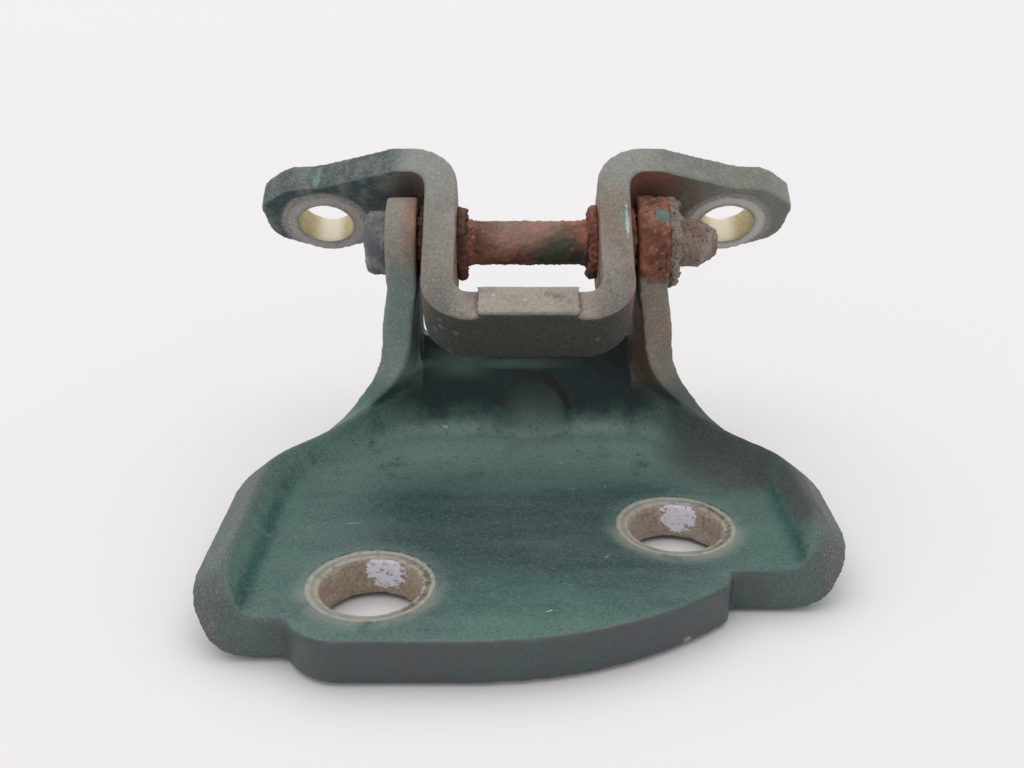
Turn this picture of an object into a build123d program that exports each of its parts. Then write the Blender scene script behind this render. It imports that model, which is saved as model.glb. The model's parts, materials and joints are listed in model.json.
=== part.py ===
"""Car door hinge: a pressed pillar leaf, a bent door leaf, and the fixed pin and bushes that join them.

X runs along the hinge pin, Y runs from the front tongue to the rear wall and Z points up from the mounting
face. The origin lies on that face, midway between the two pillar bolt holes. Lengths are in millimetres.
"""
import os
from math import cos, radians, sin, tan

from build123d import *

# Sheet of the pillar leaf
floor_thick = 6.2
arm_thick = 5.2
bend_inner_r = 2.5
bend_outer_r = 7.5
bend_root = 9.0

# Floor of the pillar leaf
crease_half_width = 38.1
left_front = -16.6
right_front = -5.0
tongue_left = -32.2
tongue_right = 28.4
tongue_tip = -21.7
tongue_flat_end = -8.0
tongue_corner_drop = 3.4
tongue_corner_in = 2.4
tongue_corner_run = 8.0
tongue_flank_in = 1.0
corner_r = 11.0
corner_start = 17.3
corner_turn = 40.0

# Turned-up flange round the floor
flange_slope = 50.0
flange_rise = 4.4
flange_corner_r = 9.5

# Flange along the diagonal and round the rear corner of the dish
diagonal_run = 15.8
foot_slope = 68.0
foot_rise = 6.5
foot_thick = 5.5

# Rear wall between the arms
wall_foot = 41.2
riser_lean = 12.0
riser_rise = 8.5
ledge_lean = 44.0
ledge_rise = 4.5
wall_rise = 15.8
wall_corner_r = 3.0
bead_r = 10.5
bead_proud = 2.6
bead_rise = 3.0
bead_centre = 1.2
bead_buried = 2.0

# Arms and ears
arm_inner = 18.7
neck_below_pin = 3.9
arm_root_in = 4.6
ear_r = 7.8
arm_waist_rear = 52.6
arm_waist_rise = 23.3

# Bolt holes of the pillar leaf
pillar_hole_r = 6.9
pillar_hole_x = 22.05
pillar_hole_y = 8.1
pillar_hole_bevel = 0.5

# Hinge pin
pin_y = 48.1
pin_rise = 32.9
pin_r = 4.0
pin_waist_r = 3.7
pin_waist_half = 9.8
pin_waist_step = 0.6
head_r = 5.4
head_thick = 3.7
head_round = 1.2
pin_shank_end = 29.6
pin_tip_x = 32.6
pin_tip_r = 2.2
ear_fit = 0.02

# Retaining washer on the outside of the right ear
washer_r = 7.2
washer_thick = 1.6
washer_round = 0.4

# Door leaf
leaf_thick = 5.6
leaf_tilt = 55.0
web_drop = 15.7
lug_lift = 8.7
leaf_bend_inner_r = 2.6
leaf_front = 7.0
web_nose = 1.3
web_nose_half = 7.0
web_rear = 4.0
leaf_flare_front = 8.6
leaf_rear = 9.7
lug_reach = 47.4
lug_rear = 12.2
lug_front = 4.4
lug_hole_in = 11.2
lug_hole_t = 5.2
lug_hole_r = 4.55
lug_corner_r = 5.0
lug_nose_in = 5.0
lug_nose_drop = 0.6
lug_tip_rear = 0.4
lug_heel_in = 1.0
lug_heel_rear = 8.5
lug_waist_out = 10.0
web_nose_angle = 60.0
leaf_edge_r = 0.8
blank_margin = 2.0

# Flanged bushes in the walls of the door leaf
bush_wall = 1.2
bush_clearance = 0.05
bush_flange_margin = 0.15
bush_gap = 0.35
bush_flange_thick = 0.85
bush_collar_r = 6.0
bush_collar_thick = 1.3
bush_collar_round = 0.4

pin_z = floor_thick + pin_rise
arm_outer = arm_inner + arm_thick
wall_outer = arm_inner - bush_gap - bush_flange_thick
wall_inner = wall_outer - leaf_thick
lug_hole_x = lug_reach - lug_hole_in
arm_joint_y = wall_foot + arm_root_in
arm_neck_rise = pin_rise - neck_below_pin

# Front edge of the arm foot from the flange up to the neck: shares of its rise, flare, turn and droop
arm_foot_shares = (
    (0, 1, 1, 1),
    (0.12, 0.64, 0.92, 0.45),
    (0.25, 0.37, 0.78, 0.18),
    (0.47, 0.17, 0.4, 0),
    (0.76, 0.056, 0.12, 0),
    (1, 0.002, 0, 0),
)


def turned_up_section(side, x, y, facing, slope, rise, thick):
    """Section across the turned-up edge at one point of its crease, from the floor out to the rim."""
    turn, lean = radians(facing), radians(slope)
    across = Plane(
        origin=(side * x, y, 0),
        x_dir=(side * cos(turn), sin(turn), 0),
        z_dir=(sin(turn), -side * cos(turn), 0),
    )
    inner_leg = bend_inner_r * tan(lean / 2)
    outer_leg = bend_outer_r * tan(lean / 2)
    corner = thick * sin(lean) - (floor_thick - thick * cos(lean)) / tan(lean)
    rim = (rise / tan(lean), floor_thick + rise)
    with BuildSketch(across) as section:
        with BuildLine():
            start = Line((-bend_root, floor_thick), (-inner_leg, floor_thick))
            bend_end = (inner_leg * cos(lean), floor_thick + inner_leg * sin(lean))
            inner = TangentArc(start @ 1, bend_end, tangent=(1, 0))
            face = Line(inner @ 1, rim)
            edge = Line(face @ 1, (rim[0] + thick * sin(lean), rim[1] - thick * cos(lean)))
            back = Line(edge @ 1, (corner + outer_leg * cos(lean), outer_leg * sin(lean)))
            outer = TangentArc((corner - outer_leg, 0), back @ 1, tangent=(1, 0))
            Polyline(outer @ 0, (-bend_root, 0), start @ 0)
        make_face()
    return section.sketch


def along_diagonal(run):
    """Point of the crease that far past the rounded rear corner."""
    turn = radians(corner_turn)
    return (
        crease_half_width - corner_r * (1 - cos(turn)) - run * sin(turn),
        corner_start + corner_r * sin(turn) + run * cos(turn),
    )


def between(start, end, share):
    return start + (end - start) * share


def flange_sections(side):
    """Sections from the rounded corner along the diagonal, steeper and higher towards the arm."""
    sections = []
    for share in (0, 0.47, 0.75, 1):
        growth = share**3
        sections.append(
            turned_up_section(
                side,
                *along_diagonal(diagonal_run * share),
                corner_turn,
                between(flange_slope, foot_slope, growth),
                between(flange_rise, foot_rise, growth),
                between(floor_thick, foot_thick, growth),
            )
        )
    return sections


def dish_corner_sections(side):
    """Sections round the rear corner of the dish, from the diagonal to the foot of the rear wall."""
    start_x, start_y = along_diagonal(diagonal_run)
    turn = radians(corner_turn)
    radius = (wall_foot - start_y) / (1 - sin(turn))
    centre_x = start_x - radius * cos(turn)
    sections = []
    for share in (0, 0.33, 0.67, 1):
        facing = between(corner_turn, 90, share)
        sections.append(
            turned_up_section(
                side,
                centre_x + radius * cos(radians(facing)),
                wall_foot - radius + radius * sin(radians(facing)),
                facing,
                between(foot_slope, 90 - riser_lean, share),
                between(foot_rise, riser_rise, share),
                between(foot_thick, floor_thick, share),
            )
        )
    return sections


def arm_slice(side, rise_share, flare_share, turn_share, droop_share):
    """Slice through the foot of the arm, somewhere between the rim of the flange and the upright neck."""
    turn = radians(corner_turn) * turn_share
    dip = radians(90 - foot_slope) * droop_share
    base_x, base_y = along_diagonal(diagonal_run)
    rim_out = foot_rise / tan(radians(foot_slope))
    flare = base_x + rim_out * cos(radians(corner_turn)) - arm_inner
    front_x = arm_inner + flare * flare_share
    front_y = between(base_y + rim_out * sin(radians(corner_turn)), pin_y - ear_r, rise_share)
    rise = between(foot_rise, arm_neck_rise, rise_share)
    front = Vector(side * front_x, front_y, floor_thick + rise)
    edge = Vector(side * cos(turn) * cos(dip), sin(turn) * cos(dip), -sin(dip))
    rear_inner = Vector(side * arm_inner, arm_joint_y, floor_thick + rise)
    plane = Plane(origin=front, x_dir=edge, z_dir=edge.cross(rear_inner - front))
    lift = (side * arm_outer - front.X) * plane.z_dir.X + (arm_joint_y + 1 - front.Y) * plane.z_dir.Y
    rear_outer = Vector(side * arm_outer, arm_joint_y + 1, front.Z - lift / plane.z_dir.Z)
    with BuildSketch(plane) as piece:
        with BuildLine():
            inner_end = plane.to_local_coords(rear_inner)
            outer_end = plane.to_local_coords(rear_outer)
            TangentArc((0, 0), (inner_end.X, inner_end.Y), tangent=(0, 1))
            Line((inner_end.X, inner_end.Y), (outer_end.X, outer_end.Y))
            TangentArc((arm_thick, 0), (outer_end.X, outer_end.Y), tangent=(0, 1))
            Line((arm_thick, 0), (0, 0))
        make_face()
    return piece.sketch


def flange(side, front):
    """One side's turned-up edge: straight along the side, round the rear corner and on to the rear wall."""
    start_size = (flange_slope, flange_rise, floor_thick)
    start = turned_up_section(side, crease_half_width, corner_start, 0, *start_size)
    reach = flange_rise / sin(radians(flange_slope))
    slope = radians(flange_slope)
    with BuildPart() as edge:
        extrude(start, amount=corner_start - front, dir=(0, -1, 0))
        turning_axis = Axis((side * (crease_half_width - corner_r), corner_start, 0), (0, 0, side))
        revolve(start, axis=turning_axis, revolution_arc=corner_turn)
        loft(sections=flange_sections(side))
        loft(sections=dish_corner_sections(side))
        flange_plane = Plane(
            origin=(side * crease_half_width, 0, floor_thick),
            x_dir=(side * cos(slope), 0, sin(slope)),
            z_dir=(-side * sin(slope), 0, cos(slope)),
        )
        with BuildSketch(flange_plane):
            round_centre = (reach - flange_corner_r, side * (front + flange_corner_r))
            with Locations(round_centre):
                Rectangle(
                    flange_corner_r + 1,
                    flange_corner_r + 1,
                    align=(Align.MIN, Align.MAX if side > 0 else Align.MIN),
                )
                Circle(flange_corner_r, mode=Mode.SUBTRACT)
        extrude(amount=2 * floor_thick, both=True, mode=Mode.SUBTRACT)
    return edge.part


def arm_foot(side):
    """Flared foot that carries the flange's rim up into the front edge of the arm."""
    slices = []
    for shares in arm_foot_shares:
        slices.append(arm_slice(side, *shares))
    with BuildPart() as foot:
        loft(sections=slices)
    return foot.part


def bead(riser, radius):
    """Round-topped bar lying behind the face of the riser."""
    foot = riser.location * Location((0, 0, bead_r - bead_proud))
    with BuildPart(Plane(foot)) as bar:
        with BuildSketch(Plane(foot).rotated((90, 0, 0)).offset(-bead_buried)):
            Circle(radius)
        extrude(amount=bead_rise + bead_buried)
        with Locations((0, -bead_rise, 0)):
            Sphere(radius)
    return bar.part


with BuildPart() as pillar_leaf:
    floor_half = crease_half_width - bend_inner_r - 1
    floor_rear = along_diagonal(diagonal_run)
    floor_rear = (floor_rear[0] - bend_inner_r, floor_rear[1] - bend_inner_r)
    with BuildSketch():
        with BuildLine():
            tip = Line((tongue_left + tongue_corner_run, tongue_tip), (tongue_flat_end, tongue_tip))
            flank_foot = (tongue_right - tongue_flank_in, right_front - tongue_corner_drop)
            sweep_out = TangentArc(tip @ 1, flank_foot, tangent=(1, 0))
            left_middle = (tongue_left + tongue_corner_in, left_front - tongue_corner_drop)
            ThreePointArc((tongue_left, left_front), left_middle, tip @ 0)
            Polyline(
                sweep_out @ 1,
                (tongue_right, right_front),
                (floor_half, right_front),
                (floor_half, corner_start),
                floor_rear,
                (0, wall_foot - 1),
                (-floor_rear[0], floor_rear[1]),
                (-floor_half, corner_start),
                (-floor_half, left_front),
                (tongue_left, left_front),
            )
        make_face()
    extrude(amount=floor_thick)
    for side, front in ((-1, left_front), (1, right_front)):
        add(flange(side, front))
        add(arm_foot(side))

    # Rear wall: a steep riser, a ledge and a short lip
    riser_top = (wall_foot + riser_rise * tan(radians(riser_lean)), floor_thick + riser_rise)
    ledge_top = (riser_top[0] + ledge_rise * tan(radians(ledge_lean)), riser_top[1] + ledge_rise)
    lip_rise = wall_rise - riser_rise - ledge_rise
    lip_top = (ledge_top[0] + lip_rise * tan(radians(riser_lean)), floor_thick + wall_rise)
    with BuildSketch(Plane.YZ):
        with BuildLine():
            wall_root = (wall_foot - bend_root, floor_thick)
            riser_base = (wall_foot, floor_thick)
            FilletPolyline(wall_root, riser_base, riser_top, ledge_top, lip_top, radius=wall_corner_r)
            offset(amount=floor_thick, side=Side.RIGHT)
        make_face()
    extrude(amount=arm_outer, both=True)

    # Arms with round ears, rising from the ends of the rear wall
    with BuildSketch(Plane.YZ.offset(arm_inner)) as arm:
        with BuildLine():
            Polyline(
                (pin_y, pin_z),
                (pin_y - ear_r, pin_z),
                (pin_y - ear_r, floor_thick + arm_neck_rise - 1),
                (arm_joint_y - 1, floor_thick + arm_neck_rise - 1),
                (arm_joint_y - 1, floor_thick),
                (riser_top[0] + arm_thick, riser_top[1]),
                (lip_top[0] + floor_thick, lip_top[1] - 1),
                (arm_waist_rear, floor_thick + arm_waist_rise),
                (pin_y + ear_r, pin_z),
                close=True,
            )
        make_face()
        with Locations((pin_y, pin_z)):
            Circle(ear_r)
    extrude(amount=arm_thick)
    extrude(arm.sketch.moved(Location((-2 * arm_inner, 0, 0))), amount=-arm_thick)

    # Stiffening bead pressed forward from the riser, hollow at the back
    riser = Plane(
        origin=(bead_centre, wall_foot, floor_thick),
        x_dir=(1, 0, 0),
        z_dir=(0, cos(radians(riser_lean)), -sin(radians(riser_lean))),
    )
    middle = riser.offset(floor_thick / 2)
    add(split(bead(riser, bead_r), bisect_by=middle, keep=Keep.BOTTOM, mode=Mode.PRIVATE))
    add(bead(riser, bead_r - floor_thick), mode=Mode.SUBTRACT)

    # Holes for the pillar bolts and for the pin
    left_hole = (-pillar_hole_x, -pillar_hole_y, floor_thick)
    right_hole = (pillar_hole_x, pillar_hole_y, floor_thick)
    with Locations(left_hole, right_hole):
        CounterSinkHole(pillar_hole_r, pillar_hole_r + pillar_hole_bevel, counter_sink_angle=90)
    with BuildSketch(Plane.YZ):
        with Locations((pin_y, pin_z)):
            Circle(pin_r + ear_fit)
    extrude(amount=arm_outer + 1, both=True, mode=Mode.SUBTRACT)

pin_axis = Axis((0, pin_y, pin_z), (1, 0, 0))
pin_section = Plane(origin=(0, pin_y, pin_z), x_dir=(1, 0, 0), z_dir=(0, -1, 0))

# Fixed pin: round head, corroded waist and tapered end
with BuildPart() as hinge_pin:
    with BuildSketch(pin_section):
        with BuildLine():
            Polyline(
                (-arm_outer - head_thick, 0),
                (-arm_outer - head_thick, head_r),
                (-arm_outer, head_r),
                (-arm_outer, pin_r),
                (-pin_waist_half, pin_r),
                (-pin_waist_half + pin_waist_step, pin_waist_r),
                (pin_waist_half - pin_waist_step, pin_waist_r),
                (pin_waist_half, pin_r),
                (pin_shank_end, pin_r),
                (pin_tip_x, pin_tip_r),
                (pin_tip_x, 0),
                close=True,
            )
        make_face()
    revolve(axis=pin_axis)
    fillet(hinge_pin.edges().sort_by(Axis.X)[0], head_round)

with BuildPart() as retaining_washer:
    with BuildSketch(Plane.YZ.offset(arm_outer)):
        with Locations((pin_y, pin_z)):
            Circle(washer_r)
            Circle(pin_r + ear_fit, mode=Mode.SUBTRACT)
    extrude(amount=washer_thick)
    fillet(retaining_washer.edges().group_by(Axis.X)[-1].sort_by(SortBy.RADIUS)[-1], washer_round)


def flanged_bush(side):
    """Bush with a thin flange against the ear and a collar formed over the inner face of the wall."""
    bore_r = pin_r + bush_clearance
    flange_end = arm_inner - bush_gap
    flange_r = lug_lift - leaf_bend_inner_r - bush_flange_margin
    with BuildPart() as bush:
        with BuildSketch(pin_section):
            with BuildLine():
                Polyline(
                    (side * (wall_inner - bush_collar_thick), bore_r),
                    (side * flange_end, bore_r),
                    (side * flange_end, flange_r),
                    (side * wall_outer, flange_r),
                    (side * wall_outer, bore_r + bush_wall),
                    (side * wall_inner, bore_r + bush_wall),
                    (side * wall_inner, bush_collar_r),
                    (side * (wall_inner - bush_collar_thick), bush_collar_r),
                    close=True,
                )
            make_face()
        revolve(axis=pin_axis)
        collar_face = bush.faces().sort_by(Axis.X)[-1 if side < 0 else 0]
        fillet(collar_face.edges().sort_by(SortBy.RADIUS)[-1], bush_collar_round)
    return bush.part


# Door leaf: one strap bent to a hat section, with a lug each side
tilt = radians(leaf_tilt)
rearward = Vector(0, cos(tilt), -sin(tilt))
lugward = Vector(0, sin(tilt), cos(tilt))
pin_centre = Vector(0, pin_y, pin_z)
leaf_plan = Plane(origin=pin_centre, x_dir=(1, 0, 0), z_dir=lugward)
leaf_side = Plane(origin=pin_centre, x_dir=rearward, z_dir=(1, 0, 0))
leaf_end = Plane(origin=pin_centre + rearward * (lug_rear + blank_margin), x_dir=(1, 0, 0), z_dir=-rearward)
lug_top = lug_lift + leaf_thick
with BuildPart() as door_leaf:
    with BuildSketch(leaf_end):
        with BuildLine():
            FilletPolyline(
                (-lug_reach - blank_margin, lug_top),
                (-wall_inner, lug_top),
                (-wall_inner, -web_drop),
                (wall_inner, -web_drop),
                (wall_inner, lug_top),
                (lug_reach + blank_margin, lug_top),
                radius=[
                    leaf_bend_inner_r + leaf_thick,
                    leaf_bend_inner_r,
                    leaf_bend_inner_r,
                    leaf_bend_inner_r + leaf_thick,
                ],
            )
            offset(amount=leaf_thick, side=Side.RIGHT)
        make_face()
    extrude(amount=lug_rear + leaf_flare_front + 2 * blank_margin)
    with BuildSketch(leaf_side):
        with BuildLine():
            web_bottom = -web_drop - leaf_thick - blank_margin
            FilletPolyline(
                (-leaf_front, web_bottom),
                (-leaf_front, -lug_lift),
                (-leaf_flare_front, lug_lift),
                (-leaf_flare_front, lug_top + blank_margin),
                (lug_rear + blank_margin, lug_top + blank_margin),
                (lug_rear + blank_margin, lug_lift - leaf_edge_r),
                (leaf_rear, lug_lift - leaf_bend_inner_r - leaf_edge_r),
                (web_rear, leaf_bend_inner_r - web_drop),
                (web_rear, web_bottom),
                radius=leaf_edge_r,
                close=True,
            )
        make_face()
    extrude(amount=lug_reach + 2 * blank_margin, both=True, mode=Mode.INTERSECT)
    with BuildSketch(leaf_plan) as blank:
        with BuildLine():
            half = FilletPolyline(
                (0, -leaf_flare_front - blank_margin),
                (wall_outer + leaf_bend_inner_r, -leaf_flare_front - blank_margin),
                (wall_outer + leaf_thick, -leaf_flare_front),
                (lug_hole_x, -lug_front),
                (lug_reach - lug_nose_in, lug_nose_drop - lug_front),
                (lug_reach, lug_tip_rear),
                (lug_reach - lug_heel_in, lug_heel_rear),
                (lug_hole_x, lug_rear + leaf_edge_r),
                (wall_outer + lug_waist_out, leaf_rear),
                (0, leaf_rear),
                radius=[
                    leaf_edge_r,
                    lug_corner_r / 2,
                    lug_corner_r,
                    lug_corner_r,
                    lug_corner_r / 2,
                    lug_corner_r,
                    lug_corner_r,
                    lug_corner_r,
                ],
            )
            mirror(half, about=Plane.YZ)
        make_face()
    extrude(amount=2 * web_drop, both=True, mode=Mode.INTERSECT)
    with BuildSketch(leaf_plan.offset(-web_drop)):
        with Locations((0, -leaf_front)):
            Trapezoid(2 * (web_nose_half + web_nose), 2 * web_nose, web_nose_angle)
    extrude(amount=-leaf_thick)
    with Locations(leaf_plan):
        with Locations((-lug_hole_x, lug_hole_t, lug_top), (lug_hole_x, lug_hole_t, lug_top)):
            Hole(lug_hole_r, depth=2 * leaf_thick)
    with BuildSketch(Plane.YZ):
        with Locations((pin_y, pin_z)):
            Circle(pin_r + bush_clearance + bush_wall)
    extrude(amount=wall_outer + 1, both=True, mode=Mode.SUBTRACT)

with BuildPart() as bush_left:
    add(flanged_bush(-1))

with BuildPart() as bush_right:
    add(flanged_bush(1))

pillar_leaf.part.label = "pillar_leaf"
hinge_pin.part.label = "hinge_pin"
retaining_washer.part.label = "retaining_washer"
door_leaf.part.label = "door_leaf"
bush_left.part.label = "bush_left"
bush_right.part.label = "bush_right"

os.makedirs("parts", exist_ok=True)
export_step(pillar_leaf.part, "parts/pillar_leaf.step")
export_step(hinge_pin.part, "parts/hinge_pin.step")
export_step(retaining_washer.part, "parts/retaining_washer.step")
export_step(door_leaf.part, "parts/door_leaf.step")
export_step(bush_left.part, "parts/bush_left.step")
export_step(bush_right.part, "parts/bush_right.step")
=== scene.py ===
"""A used car door hinge: green paint worn to metal, a rusted pin and its crust, on a pale table."""

import json
import math
from typing import NamedTuple

import bpy
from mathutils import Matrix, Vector, noise

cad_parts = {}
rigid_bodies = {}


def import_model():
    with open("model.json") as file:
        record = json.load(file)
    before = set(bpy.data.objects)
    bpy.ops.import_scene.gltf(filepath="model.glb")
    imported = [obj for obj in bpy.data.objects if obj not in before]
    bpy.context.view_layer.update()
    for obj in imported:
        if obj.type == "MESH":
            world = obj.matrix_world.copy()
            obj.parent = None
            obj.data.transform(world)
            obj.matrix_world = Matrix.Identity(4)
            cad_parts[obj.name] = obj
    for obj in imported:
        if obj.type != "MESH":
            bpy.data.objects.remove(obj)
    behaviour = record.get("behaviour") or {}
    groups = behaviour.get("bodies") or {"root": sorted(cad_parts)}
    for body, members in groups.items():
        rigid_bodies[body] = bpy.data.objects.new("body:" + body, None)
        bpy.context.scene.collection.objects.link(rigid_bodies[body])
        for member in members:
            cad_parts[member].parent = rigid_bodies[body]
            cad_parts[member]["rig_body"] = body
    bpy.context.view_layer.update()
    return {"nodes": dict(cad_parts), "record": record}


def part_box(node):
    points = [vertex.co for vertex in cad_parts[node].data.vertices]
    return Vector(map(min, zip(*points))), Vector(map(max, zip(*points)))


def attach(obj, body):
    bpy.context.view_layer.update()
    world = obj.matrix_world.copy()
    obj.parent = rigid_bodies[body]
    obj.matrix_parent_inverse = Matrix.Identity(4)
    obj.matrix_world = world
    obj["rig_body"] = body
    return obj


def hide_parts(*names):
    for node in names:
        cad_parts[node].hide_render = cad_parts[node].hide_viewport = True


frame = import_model()

MM = 0.001
UP = (0, 0, 1)

# Places on the hinge, in metres but for the height of the floor, which is in millimetres
FLOOR_TOP = 6.2
MOUNTS = {mount["name"]: mount for mount in frame["record"]["mounts"]}
PILLAR_LOW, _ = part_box("pillar_leaf")
PILLAR_HOLES = [Vector((side * 22.05, side * 8.1, FLOOR_TOP)) * MM for side in (-1, 1)]
DOOR_MOUNT = MOUNTS["door_bolts"]
DOOR_NORMAL = Vector(DOOR_MOUNT["axis"])
DOOR_CENTRE = Vector(DOOR_MOUNT["pos_m"])
DOOR_HOLES = [DOOR_CENTRE + Vector((side * DOOR_MOUNT["dims"]["pcd_mm"] / 2 * MM, 0, 0)) for side in (-1, 1)]
ARM_INNER = 18.7 * MM
BEAD_FOOT = Vector((1.2, 41.5, 10.0)) * MM
SOOT_CENTRE = Vector((35, 31, 11)) * MM
FLAKE = Vector((22.3, 43.6, 44.8)) * MM
DEPOSIT_OFFSET = Vector((1.5, 7, -2)) * MM
PIN_PAINT = Vector((5.5, 44.6, 37.0)) * MM

# How fine the meshes are, and how rough their surfaces
PLATE_VOXEL = 0.45 * MM
STRAP_VOXEL = 0.36 * MM
FINE_VOXEL = 0.2 * MM
WELD_DISTANCE = 0.001 * MM
PIT_DEPTH = 0.04 * MM
PIT_SIZE = 2 * MM
EAR_RUST_FROM = 30 * MM
GROOVE_INNER = 7.2 * MM
GROOVE_OUTER = 8.7 * MM
GROOVE_DEPTH = 0.22 * MM
LUMP_SHIFT = Vector((3, 7, 1))

# The camera, the lamp and the room
CAMERA_PLACE = Vector((-2.6, -137.2, 89.4)) * MM
CAMERA_TILT = math.radians(67.5)
SENSOR_WIDTH = 36
LENS = 38.67
LAMP_TURN = (math.radians(-14), math.radians(-8), 0)
LAMP_SPREAD = math.radians(80)
LAMP_POWER = 0.85
ROOM_LIGHT = 0.72
BACKDROP_LIGHT = 0.86
TABLE_SIZE = 12


def srgb(red, green, blue):
    """A colour written as a picture editor shows it, 0 to 255, as linear light."""
    def linear(channel):
        level = channel / 255
        return level / 12.92 if level <= 0.04045 else ((level + 0.055) / 1.055) ** 2.4

    return (linear(red), linear(green), linear(blue), 1.0)


# Paint, from its deepest to where it is rubbed through
PAINT = srgb(42, 90, 80)
PAINT_DEEP = srgb(30, 60, 60)
PAINT_DARK = srgb(18, 40, 38)
PAINT_WORN = srgb(98, 124, 117)
# Also a painted reflection where the paint turns up over the bend.
PAINT_PALE = srgb(132, 160, 150)
TEAL = srgb(96, 142, 132)
PIN_GREEN = srgb(52, 70, 60)
BLUE_GREY = srgb(94, 100, 108)

# Primer and bare metal
CHALK = srgb(142, 146, 141)
FLANGE_GREY = srgb(98, 104, 102)
ARM_LEFT = srgb(124, 138, 134)
ARM_RIGHT = srgb(138, 124, 112)
LUG_LEFT = srgb(40, 64, 66)
LUG_RIGHT = srgb(112, 116, 106)
LUG_BROWN = srgb(92, 72, 62)
BARE = srgb(122, 113, 102)
BARE_WARM = srgb(128, 112, 98)
BARE_PALE = srgb(146, 136, 124)
WEB_TOP_HIGHLIGHT = srgb(160, 151, 140)
WASHER_MARK = srgb(158, 154, 154)
BRIGHT = srgb(206, 202, 194)
BORE = srgb(244, 236, 216)
BORE_GOLD = srgb(190, 172, 124)
LINING = srgb(158, 138, 116)
LINING_PALE = srgb(172, 160, 146)
DEPOSIT = srgb(232, 230, 244)

# Dirt and rust, and the darks that also serve as painted shade
OLIVE_SHADE = srgb(60, 62, 54)
GRIME_AND_SHADE = srgb(38, 35, 32)
RISER_SHADE = srgb(40, 48, 50)
SOOT = srgb(70, 71, 74)
RUST = srgb(158, 100, 80)
RUST_DARK = srgb(96, 62, 50)
RUST_LIGHT = srgb(192, 132, 106)
SCALE = srgb(118, 102, 92)
SCALE_LIGHT = srgb(152, 138, 126)

TABLE = srgb(243, 240, 242)


class Mark(NamedTuple):
    """A scratch, chip or streak: its middle, its length and width in millimetres, and the way it runs."""

    centre: tuple
    length: float
    width: float
    heading: tuple = (1, 0, 0.3)


WALL_EDGE_HEADING = (0, 0.76, 0.65)
LUG_STREAK = Mark(centre=(-36.6, 54.4, 49.0), length=7, width=2.2, heading=(0.1, 0.83, 0.57))
WALL_SCRAPE = Mark(centre=(16.3, 42.5, 44.6), length=11, width=2.2, heading=WALL_EDGE_HEADING)
WALL_EDGE = Mark(centre=(16.6, 42.5, 44.6), length=10, width=1.0, heading=WALL_EDGE_HEADING)
WEB_NICKS = (
    Mark(centre=(-5.6, 28.9, 35.8), length=1.4, width=0.7),
    Mark(centre=(-0.5, 28.1, 35.3), length=1.2, width=0.6),
    Mark(centre=(0.2, 27.4, 34.6), length=1.0, width=0.6),
    Mark(centre=(8.6, 29.4, 36.2), length=0.8, width=0.4),
)
FLOOR_SCRATCHES = (
    Mark(centre=(-26.8, 8.6, FLOOR_TOP), length=4.4, width=0.2, heading=(1, 0.06, 0)),
    Mark(centre=(-14.5, 41.1, 7.3), length=1.8, width=0.8, heading=(1, 0.1, 0)),
    Mark(centre=(5.5, 28.9, FLOOR_TOP), length=1.6, width=0.5, heading=(1, 0.4, 0)),
    Mark(centre=(16.8, 28.9, FLOOR_TOP), length=1.0, width=0.4, heading=(1, -0.2, 0)),
    Mark(centre=(7.2, 19.6, FLOOR_TOP), length=1.5, width=0.3, heading=(1, -0.4, 0)),
    Mark(centre=(12.4, 20.3, FLOOR_TOP), length=0.9, width=0.3, heading=(0.6, 1, 0)),
    Mark(centre=(2.5, -14.5, FLOOR_TOP), length=1.8, width=0.5, heading=(1, 0.5, 0)),
    Mark(centre=(11.0, -1.0, FLOOR_TOP), length=1.4, width=0.4, heading=(1, 0.7, 0)),
)


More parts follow.
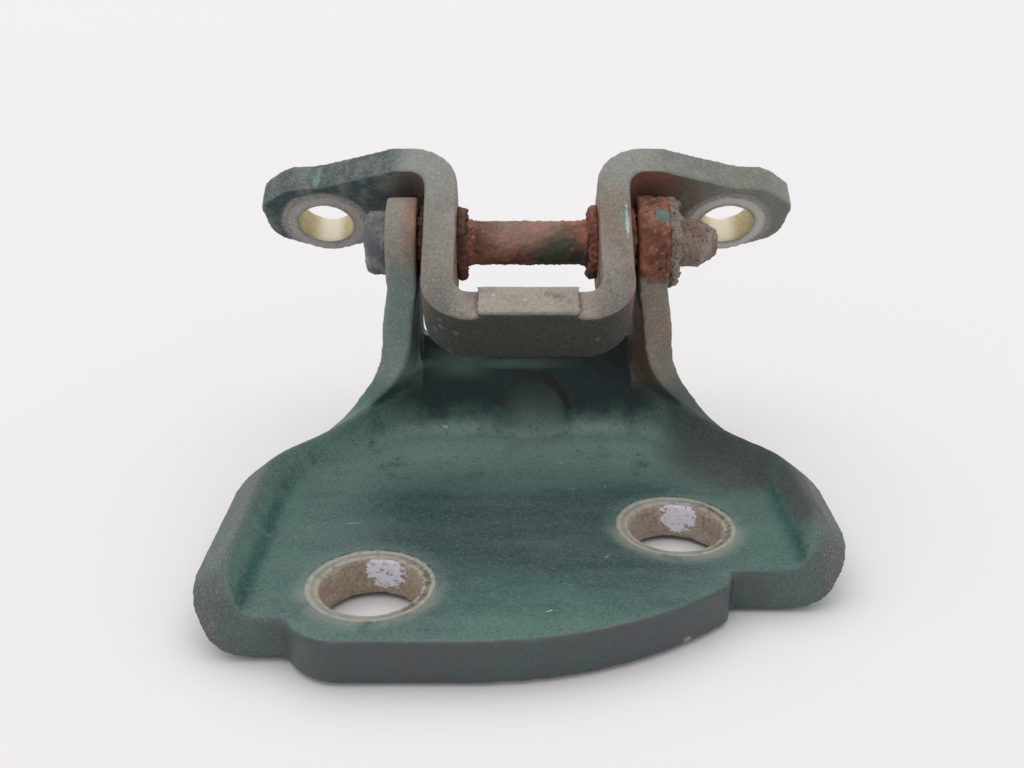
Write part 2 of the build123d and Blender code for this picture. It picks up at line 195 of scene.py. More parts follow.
class Finish:
    """A node material being put together: each method adds nodes and returns the socket to carry on from."""

    def __init__(self, name, roughness):
        self.data = bpy.data.materials.new(name)
        self.data.use_nodes = True
        self.nodes = self.data.node_tree.nodes
        self.links = self.data.node_tree.links
        self.shader = self.nodes["Principled BSDF"]
        self.shader.inputs["Roughness"].default_value = roughness
        self.place = self.nodes.new("ShaderNodeTexCoord").outputs["Object"]

    def feed(self, socket, value):
        """Link value to the socket, or set it there when it is a plain number or colour."""
        if isinstance(value, bpy.types.NodeSocket):
            self.links.new(value, socket)
        else:
            socket.default_value = value

    # Places

    def part_of(self, vector, axis):
        node = self.nodes.new("ShaderNodeSeparateXYZ")
        self.links.new(vector, node.inputs["Vector"])
        return node.outputs[axis]

    def coordinate(self, axis):
        return self.part_of(self.place, axis)

    def facing(self, axis):
        """How far the surface faces along the axis, from -1 to 1."""
        return self.part_of(self.nodes.new("ShaderNodeNewGeometry").outputs["Normal"], axis)

    def edges(self, low, high):
        """0 to 1 as the surface's sharpness goes from low to high, with 0.5 for flat."""
        return self.ramp(self.nodes.new("ShaderNodeNewGeometry").outputs["Pointiness"], low, high)

    def stretched(self, scale, turn=(0, 0, 0)):
        node = self.nodes.new("ShaderNodeMapping")
        self.links.new(self.place, node.inputs["Vector"])
        node.inputs["Scale"].default_value = scale
        node.inputs["Rotation"].default_value = turn
        return node.outputs["Vector"]

    def from_point(self, point):
        return self.vector_math("DISTANCE", self.place, point).outputs["Value"]

    def from_line(self, point, direction):
        """Distance from the line through point along the unit direction."""
        offset = self.vector_math("SUBTRACT", self.place, point).outputs["Vector"]
        across = self.vector_math("CROSS_PRODUCT", offset, direction).outputs["Vector"]
        return self.vector_math("LENGTH", across, (0, 0, 0)).outputs["Value"]

    def streak(self, mark):
        """1 on the mark, thinning out to ragged ends."""
        centre = Vector(mark.centre) * MM
        heading = Vector(mark.heading).normalized()
        length, width = mark.length * MM, mark.width * MM
        offset = self.vector_math("SUBTRACT", self.place, centre).outputs["Vector"]
        along = self.size(self.vector_math("DOT_PRODUCT", offset, heading).outputs["Value"])
        ragged = self.times(self.minus(self.noise(width, 0.5, detail=3.0), 0.5), 1.2 * width)
        across = self.plus(self.from_line(centre, heading), ragged)
        return self.ramp(self.plus(self.times(along, width / length), across), width / 2, width / 5)

    def noise(self, size, seed, detail=5.0, rough=0.6, where=None):
        """Cloudy noise around 0.5, whose largest patches are about that size."""
        node = self.nodes.new("ShaderNodeTexNoise")
        node.noise_dimensions = "4D"
        self.links.new(where or self.place, node.inputs["Vector"])
        node.inputs["W"].default_value = seed
        node.inputs["Scale"].default_value = 1 / size
        node.inputs["Detail"].default_value = detail
        node.inputs["Roughness"].default_value = rough
        return node.outputs["Fac"]

    # Sums

    def math(self, operation, a, b=0.0):
        node = self.nodes.new("ShaderNodeMath")
        node.operation = operation
        self.feed(node.inputs[0], a)
        self.feed(node.inputs[1], b)
        return node.outputs["Value"]

    def vector_math(self, operation, a, b):
        node = self.nodes.new("ShaderNodeVectorMath")
        node.operation = operation
        self.feed(node.inputs[0], a)
        self.feed(node.inputs[1], b)
        return node

    def plus(self, a, b):
        return self.math("ADD", a, b)

    def minus(self, a, b):
        return self.math("SUBTRACT", a, b)

    def size(self, value):
        return self.math("ABSOLUTE", value)

    def times(self, *values):
        result = values[0]
        for value in values[1:]:
            result = self.math("MULTIPLY", result, value)
        return result

    def either(self, *values):
        result = values[0]
        for value in values[1:]:
            result = self.math("MAXIMUM", result, value)
        return result

    def ramp(self, value, low, high, start=0.0, end=1.0):
        """start where value is at low, end where it is at high, and a smooth step between."""
        node = self.nodes.new("ShaderNodeMapRange")
        node.interpolation_type = "SMOOTHSTEP"
        self.feed(node.inputs["Value"], value)
        node.inputs["From Min"].default_value = low
        node.inputs["From Max"].default_value = high
        node.inputs["To Min"].default_value = start
        node.inputs["To Max"].default_value = end
        return node.outputs["Result"]

    def near(self, value, centre, full, none):
        """1 where value is within full of centre, falling to 0 at none."""
        return self.ramp(self.size(self.minus(value, centre)), none, full)

    # Colours

    def mix(self, factor, a, b):
        node = self.nodes.new("ShaderNodeMix")
        node.data_type = "RGBA"
        self.feed(node.inputs["Factor"], factor)
        self.feed(node.inputs["A"], a)
        self.feed(node.inputs["B"], b)
        return node.outputs["Result"]

    def layer(self, colour, shade, *masks):
        """The colour with the shade over it, as far as all the masks let it."""
        return self.mix(self.times(*masks), colour, shade)

    def grained(self, colour, size, seed, dark, pale, strength):
        """The colour under a fine mottle of a darker and a paler tone."""
        fine = self.noise(size, seed, detail=3.0, rough=0.75)
        colour = self.layer(colour, dark, self.ramp(fine, 0.5, 0.36), strength)
        return self.layer(colour, pale, self.ramp(fine, 0.5, 0.66), strength)

    def rust(self, seed):
        """Red-brown rust, from near black in its hollows to orange on its lumps."""
        broad = self.noise(5 * MM, seed, detail=6.0)
        fine = self.noise(0.7 * MM, seed + 0.5, detail=4.0)
        rust = self.mix(self.ramp(broad, 0.36, 0.62), RUST_DARK, RUST)
        rust = self.layer(rust, RUST_LIGHT, self.ramp(fine, 0.5, 0.75), 0.7)
        return self.layer(rust, GRIME_AND_SHADE, self.ramp(fine, 0.42, 0.3, 0.0, 0.65))

    def scale(self, seed):
        """Grey-brown flaky scale with dark pores."""
        broad = self.noise(3 * MM, seed, detail=6.0)
        fine = self.noise(0.5 * MM, seed + 0.5, detail=4.0)
        scale = self.mix(self.ramp(broad, 0.38, 0.62), SCALE, SCALE_LIGHT)
        scale = self.layer(scale, RUST, self.ramp(broad, 0.46, 0.34), 0.35)
        return self.layer(scale, GRIME_AND_SHADE, self.ramp(fine, 0.46, 0.34))

    # What the shader is given

    def colour(self, value):
        self.feed(self.shader.inputs["Base Color"], value)

    def roughness(self, value):
        self.feed(self.shader.inputs["Roughness"], value)

    def shine(self, value):
        self.feed(self.shader.inputs["Specular IOR Level"], value)

    def bump(self, height, depth):
        """Relief of that depth in metres where height goes from 0 to 1."""
        node = self.nodes.new("ShaderNodeBump")
        node.inputs["Distance"].default_value = depth
        self.feed(node.inputs["Height"], height)
        self.links.new(node.outputs["Normal"], self.shader.inputs["Normal"])


class PlateFinish(Finish):
    """A finish for bent plate, with the coordinates, noises and masks that its layers share."""

    def __init__(self, name, roughness, cloud_size, patch_size, seed):
        super().__init__(name, roughness)
        self.x, self.y, self.z = (self.coordinate(axis) for axis in "XYZ")
        self.span = self.size(self.x)
        self.cloud = self.noise(cloud_size, seed, detail=6.0)
        self.patch = self.noise(patch_size, seed + 1, detail=6.0)
        self.raised = self.edges(0.512, 0.545)
        self.hollow = self.edges(0.492, 0.468)
        self.upward = self.ramp(self.facing("Z"), 0.3, 0.7)


def floor_paint(coat, drag):
    """The floor's paint, darkest in the middle, worn paler towards the bend, the tongue and the bolt holes; the pale
    bands at the rear and over the bend are partly wear and partly painted light and a painted reflection.
    """
    middle = coat.times(coat.near(coat.x, 0, 18 * MM, 36 * MM), coat.near(coat.y, 7 * MM, 9 * MM, 19 * MM))
    colour = coat.layer(PAINT, PAINT_DEEP, middle, coat.ramp(drag, 0.2, 0.5, 0.55, 1.0))
    colour = coat.layer(colour, PAINT_DEEP, coat.ramp(coat.cloud, 0.52, 0.4), 0.5)
    colour = coat.layer(colour, PAINT_DEEP, coat.ramp(coat.patch, 0.48, 0.34), 0.4)

    # The rear band: worn paint, and also painted light that lifts the shade the strap above casts on the floor.
    rear_band = coat.times(coat.ramp(coat.y, 15 * MM, 31 * MM), coat.ramp(coat.z, 12 * MM, 8 * MM))
    tongue_band = coat.times(coat.ramp(coat.y, -12 * MM, -18 * MM), coat.upward, 0.45)
    level = coat.ramp(coat.facing("Z"), 0.85, 0.97)
    slopes = coat.times(coat.upward, coat.ramp(level, 1.0, 0.0), coat.ramp(coat.z, 6.8 * MM, 8.5 * MM),
                        coat.ramp(coat.span, 24 * MM, 30 * MM), 0.85)
    halos = [coat.times(coat.ramp(coat.from_line(hole, UP), 12 * MM, 9 * MM), 0.45) for hole in PILLAR_HOLES]
    rubbed_and_lit = coat.times(coat.either(rear_band, tongue_band, slopes, *halos), coat.ramp(coat.patch, 0.25, 0.5))
    colour = coat.layer(colour, PAINT_WORN, rubbed_and_lit)

    # The pale band over the bend: partly wear, partly a painted reflection on the satin paint.
    bend_band = coat.times(coat.ramp(coat.y, 24 * MM, 37 * MM), coat.ramp(coat.z, 9.5 * MM, 7 * MM),
                           coat.ramp(coat.span, 34 * MM, 14 * MM))
    colour = coat.layer(colour, PAINT_PALE, bend_band, coat.ramp(coat.patch, 0.2, 0.55, 0.6, 1.0))
    smudges = coat.times(coat.ramp(drag, 0.6, 0.72), coat.near(coat.x, 14 * MM, 10 * MM, 26 * MM), coat.upward)
    return coat.layer(colour, PAINT_WORN, smudges, 0.6), rubbed_and_lit, rear_band, level


def wall_paint(coat, colour):
    """The rear wall: darker and browner as painted shade under the strap, but for painted highlights on the bead's
    foot and the ledge above it, and painted shade round the bead.
    """
    facing_front = coat.ramp(coat.facing("Y"), 0.3, -0.1)
    rear = coat.ramp(coat.y, 36 * MM, 40 * MM)
    fading = coat.plus(coat.z, coat.times(coat.minus(coat.patch, 0.5), 12 * MM))
    wall = coat.times(coat.ramp(fading, 6 * MM, 13 * MM), rear, coat.ramp(coat.span, 27 * MM, 18 * MM), facing_front)
    # Painted shade: the rear wall darkened where the strap above shades it.
    colour = coat.layer(colour, RISER_SHADE, wall, coat.ramp(coat.patch, 0.2, 0.4, 0.7, 0.95))

    # Painted highlights: the lit foot of the bead, and the lit ledge and its corner above it, lighter towards the
    # left.
    foot = coat.times(coat.near(coat.x, 1.5 * MM, 2 * MM, 8 * MM), coat.ramp(coat.z, 17 * MM, 7 * MM),
                      facing_front, rear, 0.6)
    ledge = coat.times(coat.near(coat.z, 17.6 * MM, 0.3 * MM, 1.0 * MM),
                       coat.ramp(coat.x, 12 * MM, -4 * MM, 0.0, 0.6))
    corner = coat.times(coat.near(coat.z, 17.8 * MM, 0.3 * MM, 3.0 * MM),
                        coat.near(coat.x, -12 * MM, 1 * MM, 8 * MM), 0.8)
    pale = coat.either(foot, coat.times(coat.either(ledge, corner), wall))
    colour = coat.layer(colour, coat.mix(foot, PAINT_WORN, CHALK), pale, coat.ramp(coat.patch, 0.2, 0.5, 0.5, 0.9))

    # Painted shade: a dark line round the bead's arch, stronger towards the right.
    sideways = coat.minus(coat.x, BEAD_FOOT.x)
    rise = coat.either(coat.minus(coat.z, BEAD_FOOT.z), 0.0)
    arch = coat.math("SQRT", coat.plus(coat.times(sideways, sideways), coat.times(rise, rise)))
    arch_shade = coat.times(coat.near(arch, 6.1 * MM, 0.1 * MM, 1.2 * MM), wall,
                         coat.ramp(coat.x, -4 * MM, 6 * MM, 0.15, 0.9))
    return coat.layer(colour, GRIME_AND_SHADE, arch_shade), wall


def primer_showing(coat, colour):
    """Grey primer on the flange's outside and the arms, browner on the right, and darker grey over the front-facing
    faces of the front edge.
    """
    front = coat.ramp(coat.facing("Y"), -0.15, -0.5)
    ears = coat.ramp(coat.z, 33 * MM, 41 * MM)
    primer = coat.mix(coat.ramp(coat.x, -2 * MM, 8 * MM), ARM_LEFT, ARM_RIGHT)
    primer = coat.layer(primer, FLANGE_GREY, coat.ramp(coat.z, 18 * MM, 12 * MM))
    primer = coat.layer(primer, PAINT_WORN, coat.ramp(coat.patch, 0.45, 0.68), 0.5)
    primer = coat.layer(primer, BARE_PALE, ears, 0.8)
    primer = coat.grained(primer, 0.3 * MM, 4.8, SOOT, BRIGHT, 0.3)

    arms = coat.times(coat.ramp(coat.z, 13 * MM, 19 * MM), coat.ramp(coat.span, 18.2 * MM, 18.8 * MM),
                      coat.either(front, ears))
    outside = coat.times(coat.ramp(coat.span, 40.0 * MM, 42.5 * MM), coat.ramp(coat.patch, 0.2, 0.42))
    ends = coat.times(coat.ramp(coat.span, 29 * MM, 33 * MM), coat.ramp(coat.y, 2 * MM, -4 * MM), front)
    bared = coat.either(arms, outside, coat.times(ends, 0.6), coat.times(coat.raised, 0.6))
    colour = coat.layer(colour, primer, bared)
    # Darker grey over the faces turned to the front along the front edge.
    front_darkening = coat.times(coat.ramp(coat.y, 6 * MM, -2 * MM), front, coat.ramp(coat.span, 38 * MM, 26 * MM, 0.35, 1.0),
                      coat.ramp(coat.patch, 0.25, 0.6, 0.45, 0.9))
    return coat.layer(colour, SOOT, front_darkening), bared


def soot_and_brown(coat, colour):
    """Soot over the right rear corner and down its slope, brown on the inner side of the right arm."""
    corner = coat.ramp(coat.from_point(SOOT_CENTRE), 21 * MM, 5 * MM)
    slope = coat.times(coat.near(coat.x, 41.5 * MM, 1.5 * MM, 3 * MM), coat.ramp(coat.y, -2 * MM, 8 * MM), 0.75)
    spread = coat.plus(coat.either(corner, slope), coat.times(coat.minus(coat.patch, 0.5), 0.8))
    stain = coat.times(coat.ramp(spread, 0.05, 0.95), 0.85, coat.ramp(coat.x, 18 * MM, 26 * MM))
    colour = coat.layer(colour, coat.grained(SOOT, 0.4 * MM, 5.2, GRIME_AND_SHADE, FLANGE_GREY, 0.5), stain)
    arm_side = coat.times(coat.ramp(coat.x, 14 * MM, 17 * MM), coat.ramp(coat.y, 36 * MM, 40 * MM),
                          coat.ramp(coat.facing("X"), -0.2, -0.6), coat.ramp(coat.z, 10 * MM, 20 * MM))
    colour = coat.layer(colour, LUG_BROWN, arm_side, coat.ramp(coat.patch, 0.2, 0.45), 0.9)
    return colour, coat.either(stain, arm_side)


def ear_rust(coat, colour):
    """Rust over the right ear with a flake of paint left in it, and a tint of rust at the top of the left one."""
    right_ear = coat.times(coat.ramp(coat.z, 29 * MM, 37 * MM), coat.ramp(coat.x, 10 * MM, 15 * MM))
    left_top = coat.times(coat.ramp(coat.z, 36 * MM, 42 * MM),
                          coat.near(coat.x, -ARM_INNER, 0.8 * MM, 3.2 * MM), 0.55)
    rusted = coat.times(right_ear, coat.ramp(coat.plus(coat.patch, right_ear), 1.2, 1.42))
    rusted = coat.either(rusted, left_top)
    colour = coat.layer(colour, coat.rust(5.0), rusted)
    ragged = coat.times(coat.minus(coat.noise(1.6 * MM, 5.5, detail=5.0, rough=0.7), 0.5), 9 * MM)
    flake = coat.ramp(coat.plus(coat.from_point(FLAKE), ragged), 1.9 * MM, 1.5 * MM, 0.0, 0.85)
    return coat.layer(colour, coat.mix(coat.patch, PAINT_WORN, TEAL), flake, right_ear), rusted


def pillar_hole(coat, colour, hole, index):
    """Bare walls with deposits, a dull ring where the bolt's washer sat, lighter on its left and darker on its right
    as painted light and shade of its groove, and a broken pale rim round it.
    """
    radius = coat.from_line(hole, UP)
    crumbs = coat.noise(0.8 * MM, 6.0 + index, detail=4.0)
    blush = coat.times(coat.ramp(radius, 11.5 * MM, 8.8 * MM), coat.upward,
                       coat.ramp(coat.y, hole.y + 4 * MM, hole.y - 5 * MM))
    colour = coat.layer(colour, LINING_PALE, blush, coat.ramp(coat.patch, 0.25, 0.6), 0.4)

    # The washer ring: chalky at its left as painted light, olive at its right as painted shade, over real tarnish.
    tarnish_and_shade = coat.mix(coat.ramp(coat.x, hole.x + 1 * MM, hole.x + 7 * MM), CHALK, OLIVE_SHADE)
    tarnish_and_shade = coat.layer(tarnish_and_shade, FLANGE_GREY, coat.ramp(coat.patch, 0.4, 0.6), 0.6)
    tarnish_and_shade = coat.layer(tarnish_and_shade, LINING, coat.ramp(crumbs, 0.42, 0.62), 0.7)
    colour = coat.layer(colour, tarnish_and_shade, coat.ramp(radius, 8.7 * MM, 8.3 * MM), coat.upward, 0.9)
    rim = coat.times(coat.near(radius, 8.6 * MM, 0.1 * MM, 0.5 * MM), coat.upward,
                     coat.ramp(crumbs, 0.3, 0.6, 0.2, 0.8))
    lip = coat.times(coat.near(radius, 7.3 * MM, 0.1 * MM, 0.5 * MM), coat.upward,
                     coat.ramp(crumbs, 0.3, 0.65), 0.8)
    colour = coat.layer(colour, coat.mix(crumbs, BRIGHT, LINING), coat.either(rim, lip))

    lining = coat.mix(coat.ramp(coat.patch, 0.4, 0.62), LINING, LINING_PALE)
    lining = coat.grained(lining, 0.5 * MM, 7.0 + index, GRIME_AND_SHADE, BRIGHT, 0.4)
    slanting = coat.stretched((1.0, 1.0, 1.6), (0, 0.7, 0))
    streaky = coat.noise(1.1 * MM, 8.0 + index, detail=6.0, rough=0.75, where=slanting)
    spot = coat.ramp(coat.from_point(hole + DEPOSIT_OFFSET), 4.6 * MM, 2.0 * MM)
    deposit = coat.ramp(coat.plus(streaky, coat.times(spot, 0.3)), 0.7, 0.76)
    lining = coat.layer(lining, DEPOSIT, deposit, coat.ramp(spot, 0.0, 0.25))
    colour = coat.layer(colour, lining, coat.ramp(radius, 7.2 * MM, 7.0 * MM))
    burr = coat.times(coat.near(radius, 8.95 * MM, 0.1 * MM, 0.45 * MM), coat.upward,
                      coat.ramp(coat.y, hole.y + 1 * MM, hole.y + 5 * MM), coat.ramp(crumbs, 0.42, 0.58))
    return coat.layer(colour, GRIME_AND_SHADE, burr, 0.8)


def scratched(coat, colour):
    """Scratches and chips down to bright metal, and fainter hairlines."""
    marks = coat.either(*(coat.streak(mark) for mark in FLOOR_SCRATCHES))
    marks = coat.times(marks, coat.ramp(coat.noise(0.5 * MM, 9.5), 0.35, 0.55, 0.2, 0.7))
    drawn_out = coat.stretched((0.12, 1.6, 1), (0, 0, 0.5))
    hairs = coat.ramp(coat.noise(5 * MM, 9.0, detail=2.0, rough=0.4, where=drawn_out), 0.735, 0.76)
    return coat.layer(colour, BRIGHT, coat.either(marks, coat.times(hairs, 0.3)))


def green_paint():
    """The pillar leaf's finish."""
    coat = PlateFinish("green_paint", 0.38, 16 * MM, 5 * MM, 1.0)
    drag = coat.noise(6 * MM, 3.0, detail=6.0, where=coat.stretched((0.35, 1.3, 1)))
    colour, rubbed_and_lit, rear_band, level = floor_paint(coat, drag)
    colour, wall = wall_paint(coat, colour)
    off_wall = coat.ramp(wall, 1.0, 0.0)
    colour = coat.grained(colour, 0.35 * MM, 4.0, PAINT_DARK, PAINT_WORN, coat.ramp(wall, 0.0, 1.0, 0.5, 0.12))
    colour = coat.layer(colour, PAINT_WORN, coat.ramp(drag, 0.4, 0.6, 0.0, 0.16), level, off_wall)
    pits = coat.ramp(coat.noise(0.6 * MM, 4.6, detail=2.0), 0.36, 0.3)
    colour = coat.layer(colour, PAINT_DEEP, pits, rear_band, 0.7)
    colour, bared = primer_showing(coat, colour)
    colour, stained = soot_and_brown(coat, colour)
    colour, rusted = ear_rust(coat, colour)
    # Painted shade: darker in the concave creases.
    colour = coat.layer(colour, GRIME_AND_SHADE, coat.hollow, coat.ramp(coat.patch, 0.3, 0.55), 0.45)
    for index, hole in enumerate(PILLAR_HOLES):
        colour = pillar_hole(coat, colour, hole, index)
    coat.colour(scratched(coat, colour))

    dull = coat.either(bared, rusted, stained, wall, coat.times(rubbed_and_lit, 0.6))
    coat.roughness(coat.ramp(dull, 0.0, 1.0, 0.36, 0.8))
    coat.shine(coat.ramp(dull, 0.0, 1.0, 0.5, 0.3))
    lumps = coat.times(rusted, coat.noise(1.2 * MM, 10.0), 3.0)
    coat.bump(coat.plus(coat.times(coat.noise(0.4 * MM, 10.5, detail=3.0), 0.7), lumps), 0.12 * MM)
    return coat.data


def strap_steel(coat, underneath):
    """Scoured steel, browner on the right, chalky over the bends, with a painted highlight on the web's top and
    painted shade in olive on the faces turned down.
    """
    colour = coat.mix(coat.ramp(coat.x, -16 * MM, 14 * MM), BARE, BARE_WARM)
    colour = coat.layer(colour, CHALK, coat.ramp(coat.cloud, 0.45, 0.65), 0.5)
    brown = coat.ramp(coat.x, -20 * MM, 16 * MM, 0.25, 0.6)
    colour = coat.layer(colour, LUG_BROWN, coat.ramp(coat.patch, 0.5, 0.32), brown)
    # Painted highlight: the web lighter on its faces turned up.
    web = coat.times(coat.upward, coat.ramp(coat.span, 15 * MM, 7 * MM),
                     coat.ramp(coat.x, 14 * MM, 2 * MM, 0.3, 1.0))
    colour = coat.layer(colour, WEB_TOP_HIGHLIGHT, web, coat.ramp(coat.patch, 0.3, 0.55))
    corners = coat.times(coat.near(coat.span, 15 * MM, 1 * MM, 6 * MM), coat.ramp(coat.z, 40 * MM, 33 * MM))
    colour = coat.layer(colour, SOOT, corners, coat.ramp(coat.patch, 0.25, 0.6, 0.2, 0.7))
    bends = coat.times(coat.ramp(coat.z, 46 * MM, 51 * MM), coat.near(coat.span, 19 * MM, 4 * MM, 9 * MM))
    colour = coat.layer(colour, CHALK, bends, 0.7)
    # Painted shade: olive over the faces turned down.
    return coat.layer(colour, OLIVE_SHADE, underneath, 0.9)


def lug_paint(coat, colour, underneath, face):
    """Green remains on the left lug, grey on the right one, with brown creeping out of its bend."""
    tint = coat.mix(coat.ramp(coat.x, -5 * MM, 5 * MM), LUG_LEFT, LUG_RIGHT)
    tint = coat.layer(tint, CHALK, coat.ramp(coat.patch, 0.45, 0.65), 0.4)
    colour = coat.layer(colour, tint, coat.ramp(coat.span, 19 * MM, 25 * MM), 0.9)
    creep = coat.times(face, underneath, coat.ramp(coat.x, 15 * MM, 18 * MM), coat.ramp(coat.x, 36 * MM, 26 * MM))
    colour = coat.layer(colour, LUG_BROWN, creep, coat.ramp(coat.patch, 0.2, 0.5))
    # The pale speck is brighter on faces turned up than on faces turned down: painted light.
    colour = coat.grained(colour, 0.3 * MM, 13.0, GRIME_AND_SHADE, coat.mix(underneath, BRIGHT, CHALK), 0.25)
    specks = coat.ramp(coat.noise(0.7 * MM, 14.0, detail=2.0), 0.7, 0.76)
    colour = coat.layer(colour, SOOT, specks, 0.6)
    return coat.layer(colour, CHALK, coat.raised, 0.3)


def strap_rust(coat, colour, underneath):
    """Rust deep in the bends, beside the ears and on the walls round the pin, darker on the faces turned down as
    painted shade, with painted shade in the creases.
    """
    beside = coat.times(coat.ramp(coat.span, 17 * MM, 18.5 * MM), coat.ramp(coat.span, 28 * MM, 21 * MM))
    bends = coat.times(beside, underneath, coat.ramp(coat.cloud, 0.3, 0.5),
                       coat.ramp(coat.x, -30 * MM, 5 * MM, 0.2, 1.0))
    side_face = coat.ramp(coat.size(coat.facing("X")), 0.6, 0.9)
    walls = coat.times(side_face, coat.ramp(coat.span, 18 * MM, 17 * MM), coat.near(coat.z, 39 * MM, 5 * MM, 9 * MM),
                       coat.ramp(coat.patch, 0.35, 0.55), coat.ramp(coat.y, 56 * MM, 48 * MM))
    rusted = coat.either(bends, walls)
    # Painted shade: the rust is darkened on the faces turned down.
    shaded_rust = coat.mix(0.6, coat.rust(15.0), RUST_DARK)
    colour = coat.layer(colour, coat.mix(underneath, coat.rust(15.5), shaded_rust), rusted, 0.9)
    # Painted shade: darker in the concave creases.
    return coat.layer(colour, GRIME_AND_SHADE, coat.hollow, 0.5), rusted


def door_hole(coat, colour, hole, turned, face):
    """A scoured washer mark, brighter on the right, and a clean bore with gold plating left at its sides and a
    painted highlight in pale cream down its middle.
    """
    radius = coat.from_line(hole, DOOR_NORMAL)
    uneven = coat.plus(radius, coat.times(coat.patch, 1.6 * MM))
    shade = coat.mix(coat.ramp(turned, 0.35, 0.65), BARE, WASHER_MARK)
    worn_ring = coat.near(uneven, 6.9 * MM, 0.3 * MM, 1.2 * MM)
    shade = coat.layer(shade, BRIGHT, worn_ring, coat.ramp(coat.x, -10 * MM, 10 * MM, 0.35, 0.75))
    colour = coat.layer(colour, shade, coat.ramp(uneven, 9.3 * MM, 8.4 * MM), face, 0.85)
    # Painted highlight: the bore is pale cream in its middle, gold only off centre.
    off_centre = coat.size(coat.minus(coat.x, hole.x))
    gold = coat.times(coat.ramp(off_centre, 0.8 * MM, 3.5 * MM), coat.ramp(turned, 0.2, 0.6, 0.5, 1.0))
    return coat.layer(colour, coat.mix(gold, BORE, BORE_GOLD), coat.ramp(radius, 5.0 * MM, 4.75 * MM))


def strap_marks(coat, colour, turned):
    """A teal streak on the left lug, a scrape down the right wall's edge, and nicks along the web."""
    teal = coat.either(coat.streak(LUG_STREAK), coat.times(coat.streak(WALL_SCRAPE), 0.7))
    colour = coat.layer(colour, TEAL, teal, coat.ramp(turned, 0.3, 0.55, 0.4, 0.9))
    edge = coat.times(coat.streak(WALL_EDGE), coat.ramp(turned, 0.35, 0.55, 0.3, 0.8))
    nicks = coat.either(*(coat.streak(mark) for mark in WEB_NICKS))
    return coat.layer(colour, BRIGHT, coat.either(edge, coat.times(nicks, coat.ramp(turned, 0.42, 0.52))))


def worn_grey():
    """The door leaf's finish."""
    coat = PlateFinish("worn_grey_paint", 0.55, 12 * MM, 3.5 * MM, 11.0)
    turned = coat.noise(0.5 * MM, 16.0, detail=3.0)
    underneath = coat.ramp(coat.facing("Z"), 0.1, -0.35)
    face = coat.ramp(coat.facing("Y"), -0.3, -0.6)
    colour = strap_steel(coat, underneath)
    colour = lug_paint(coat, colour, underneath, face)
    colour, rusted = strap_rust(coat, colour, underneath)
    for hole in DOOR_HOLES:
        colour = door_hole(coat, colour, hole, turned, face)
    coat.colour(strap_marks(coat, colour, turned))
    coat.roughness(coat.ramp(coat.either(rusted, underneath), 0.0, 1.0, 0.52, 0.8))
    coat.bump(coat.plus(coat.times(turned, 0.6), coat.times(coat.patch, 0.8)), 0.12 * MM)
    return coat.data


def rusty_steel():
    """The pin's finish: rust with a little green on it, a painted highlight along the top of its middle, a painted
    head and a scaly tail.
    """
    finish = Finish("rusty_steel", 0.82)
    x, z = finish.coordinate("X"), finish.coordinate("Z")
    patch = finish.noise(4 * MM, 21.0, detail=6.0)
    # Painted highlight: the middle of the pin is paler towards its top.
    middle = finish.times(finish.ramp(finish.size(x), 9 * MM, 4 * MM), finish.ramp(z, 36 * MM, 41 * MM))
    colour = finish.layer(finish.rust(20.0), SCALE_LIGHT, middle, 0.45)
    green = finish.ramp(finish.from_point(PIN_PAINT), 6.5 * MM, 3.0 * MM)
    colour = finish.layer(colour, PIN_GREEN, green, finish.ramp(patch, 0.34, 0.5), 0.85)
    painted = finish.mix(finish.ramp(patch, 0.4, 0.62), BLUE_GREY, CHALK)
    colour = finish.layer(colour, painted, finish.ramp(x, -23.2 * MM, -23.8 * MM), 0.92)
    colour = finish.layer(colour, finish.scale(22.0), finish.ramp(x, 23.0 * MM, 24.5 * MM))
    finish.colour(colour)
    finish.bump(finish.noise(0.6 * MM, 24.0, detail=5.0), 0.25 * MM)
    return finish.data


def rust_scale():
    """The washer's finish."""
    finish = Finish("rust_scale", 0.9)
    finish.colour(finish.scale(25.0))
    finish.bump(finish.noise(0.7 * MM, 26.0, detail=6.0), 0.4 * MM)
    return finish.data


def dark_bush():
    """The bushes' finish, darker on the left one."""
    finish = Finish("dark_bush", 0.85)
    patch = finish.noise(2 * MM, 27.0)
    colour = finish.mix(finish.ramp(patch, 0.3, 0.5), RUST_DARK, finish.rust(28.0))
    colour = finish.layer(colour, GRIME_AND_SHADE, finish.ramp(finish.coordinate("X"), 5 * MM, -5 * MM, 0.1, 0.5))
    finish.colour(colour)
    finish.bump(finish.noise(0.8 * MM, 29.0, detail=6.0), 0.35 * MM)
    return finish.data


def finely_meshed(source, name, voxel):
    """A copy of the source object with an even, slightly rounded mesh, on the same place."""
    piece = bpy.data.objects.new(name, source.data.copy())
    bpy.context.scene.collection.objects.link(piece)
    weld = piece.modifiers.new("weld", "WELD")
    weld.merge_threshold = WELD_DISTANCE
    remesh = piece.modifiers.new("remesh", "REMESH")
    remesh.mode = "VOXEL"
    remesh.voxel_size = voxel
    remesh.use_smooth_shade = True
    smooth = piece.modifiers.new("smooth", "SMOOTH")
    smooth.factor = 0.5
    smooth.iterations = 8
    evaluated = piece.evaluated_get(bpy.context.evaluated_depsgraph_get())
    mesh = bpy.data.meshes.new_from_object(evaluated)
    piece.modifiers.clear()
    piece.data = mesh
    return piece


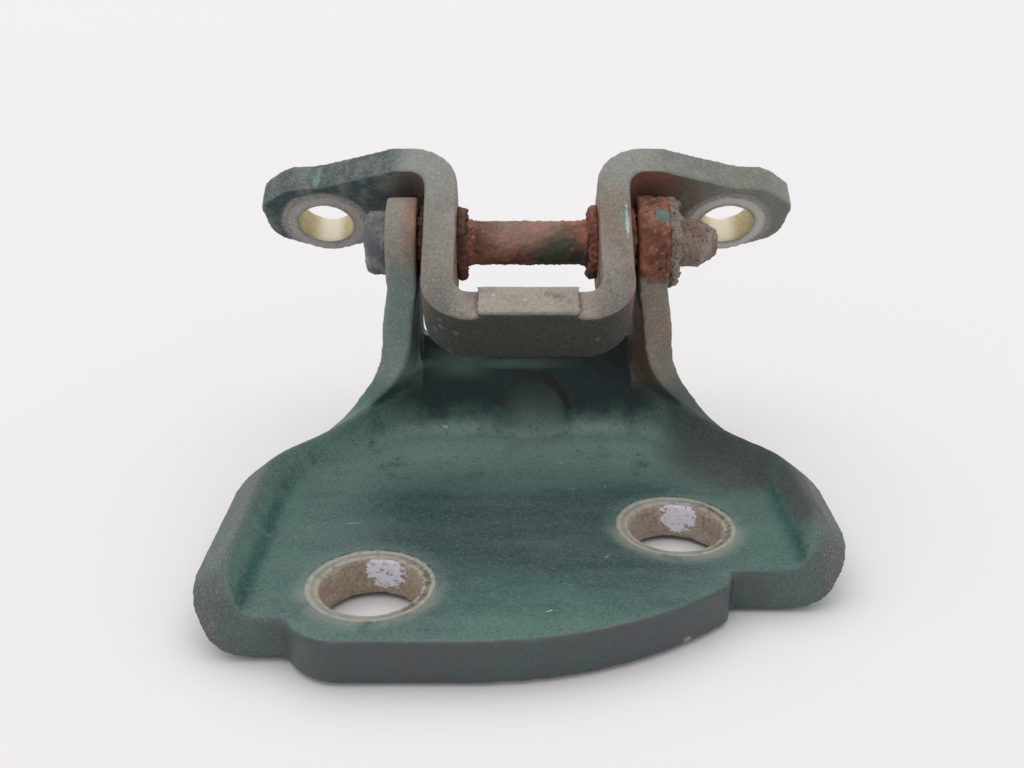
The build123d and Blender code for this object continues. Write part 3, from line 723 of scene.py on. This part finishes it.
def dressed(node, voxel, relief, material):
    """A finely meshed stand-in for a node, whose surface relief(point, normal) moves along its normal."""
    source = frame["nodes"][node]
    piece = finely_meshed(source, f"{node}_surface", voxel)
    mesh = piece.data
    mesh.materials.clear()
    mesh.materials.append(material)
    moves = [vertex.normal * relief(vertex.co, vertex.normal) for vertex in mesh.vertices]
    for vertex, move in zip(mesh.vertices, moves):
        vertex.co += move
    mesh.shade_smooth()
    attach(piece, source["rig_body"])
    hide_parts(node)
    return piece


def lumpy(point, evenness=0.8, octaves=3):
    """Fractal noise about zero, with the largest lumps one unit across."""
    return noise.fractal(point, evenness, 2.0, octaves)


def pitted(amount, size):
    """A relief of soft pits and lumps of that depth and size."""
    def relief(point, normal):
        return amount * lumpy(point / size)

    return relief


def caked(amount, size, thick):
    """Crusted rust: lumps that stand up from the surface by up to thick, over a pitted one."""
    def relief(point, normal):
        lump = max(0.0, lumpy(point / size + LUMP_SHIFT, evenness=0.7))
        return amount * lumpy(point / size * 2) + thick * min(1.0, lump * 1.6)

    return relief


def pillar_relief(point, normal):
    """Pitted plate, lumps of rust on the right ear's edge, and the groove pressed round each bolt hole."""
    depth = PIT_DEPTH * lumpy(point / PIT_SIZE)
    if point.x > ARM_INNER and point.z > EAR_RUST_FROM:
        exposed = max(0.0, -normal.y, normal.z) * min(1.0, (point.z - EAR_RUST_FROM) / (6 * MM))
        depth += exposed * (0.12 + 0.45 * lumpy(point / (1.5 * MM), octaves=4)) * MM
    half_groove = (GROOVE_OUTER - GROOVE_INNER) / 2
    for hole in PILLAR_HOLES:
        radius = (point.xy - hole.xy).length
        if normal.z > 0.7 and GROOVE_INNER < radius < GROOVE_OUTER:
            depth -= GROOVE_DEPTH * (1 - abs(radius - GROOVE_INNER - half_groove) / half_groove)
    return depth


def make_room():
    """Pale light all round, a little paler where it is seen straight on, in gloss or through glass."""
    world = bpy.data.worlds.new("room")
    bpy.context.scene.world = world
    world.use_nodes = True
    nodes, links = world.node_tree.nodes, world.node_tree.links
    nodes["Background"].inputs["Color"].default_value = (1, 1, 1, 1)
    rays = nodes.new("ShaderNodeLightPath").outputs
    seen = rays["Is Camera Ray"]
    for kind in ("Is Glossy Ray", "Is Transmission Ray"):
        either = nodes.new("ShaderNodeMath")
        either.operation = "MAXIMUM"
        links.new(seen, either.inputs[0])
        links.new(rays[kind], either.inputs[1])
        seen = either.outputs["Value"]
    strength = nodes.new("ShaderNodeMapRange")
    strength.inputs["To Min"].default_value = ROOM_LIGHT
    strength.inputs["To Max"].default_value = BACKDROP_LIGHT
    links.new(seen, strength.inputs["Value"])
    links.new(strength.outputs["Result"], nodes["Background"].inputs["Strength"])


def make_stage():
    """A pale table under the hinge and the lamp overhead."""
    bpy.ops.mesh.primitive_plane_add(size=TABLE_SIZE, location=(0, 0, PILLAR_LOW.z))
    floor = bpy.context.object
    floor.name = "table"
    finish = Finish("table_top", 0.6)
    finish.colour(TABLE)
    floor.data.materials.append(finish.data)
    lamp = bpy.data.lights.new("overhead", "SUN")
    lamp.angle = LAMP_SPREAD
    lamp.energy = LAMP_POWER
    holder = bpy.data.objects.new("overhead", lamp)
    holder.rotation_euler = LAMP_TURN
    bpy.context.scene.collection.objects.link(holder)


def make_camera():
    """A camera in front of the hinge, looking down on it."""
    camera = bpy.data.cameras.new("camera")
    camera.sensor_width = SENSOR_WIDTH
    camera.lens = LENS
    camera.clip_start = 0.01
    camera.clip_end = 50
    holder = bpy.data.objects.new("camera", camera)
    holder.location = CAMERA_PLACE
    holder.rotation_euler = (CAMERA_TILT, 0, 0)
    bpy.context.scene.collection.objects.link(holder)
    bpy.context.scene.camera = holder


dressed("pillar_leaf", PLATE_VOXEL, pillar_relief, green_paint())
dressed("door_leaf", STRAP_VOXEL, pitted(PIT_DEPTH, PIT_SIZE), worn_grey())
dressed("hinge_pin", FINE_VOXEL, caked(amount=0.1 * MM, size=1.2 * MM, thick=0.15 * MM), rusty_steel())
dressed("retaining_washer", FINE_VOXEL, caked(amount=0.25 * MM, size=1.6 * MM, thick=0.7 * MM), rust_scale())
bush_finish = dark_bush()
for side in ("left", "right"):
    dressed(f"bush_{side}", FINE_VOXEL, caked(amount=0.1 * MM, size=1.3 * MM, thick=0.5 * MM), bush_finish)

make_room()
make_stage()
make_camera()
scene = bpy.context.scene
scene.view_settings.view_transform = "Standard"
